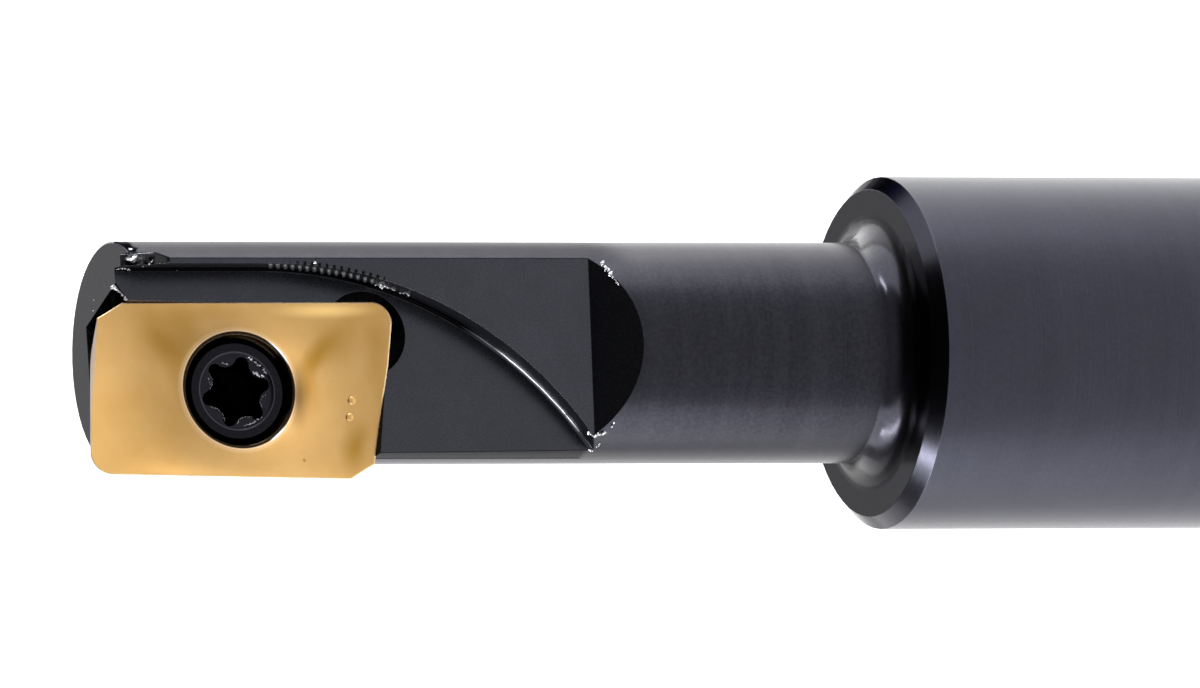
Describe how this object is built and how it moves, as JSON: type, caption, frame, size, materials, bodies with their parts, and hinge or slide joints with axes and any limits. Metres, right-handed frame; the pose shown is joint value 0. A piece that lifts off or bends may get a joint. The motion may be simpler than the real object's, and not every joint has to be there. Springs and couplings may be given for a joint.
{
  "type": "indexable end mill",
  "caption": "Stepped round cutter with a stout shank, a thinner neck, a flat flute at the tip and a screwed-in parallelogram cutting insert.",
  "frame": {"origin": "centre of the shank's rear end face, which the tool stands on", "axes": "+Z along the tool axis from the shank to the cutting tip; -Y is the side the flute and the insert's rake face open to; the cutting edge lies on the -X side"},
  "size_m": [0.0126, 0.0126, 0.0826],
  "materials": {
    "holder_steel": "satin",
    "insert_coating": "satin",
    "screw_steel": "satin"
  },
  "bodies": {
    "root": {"holder_body": "holder_steel", "cutting_insert": "insert_coating", "clamp_screw": "screw_steel"}
  },
  "joints": []
}
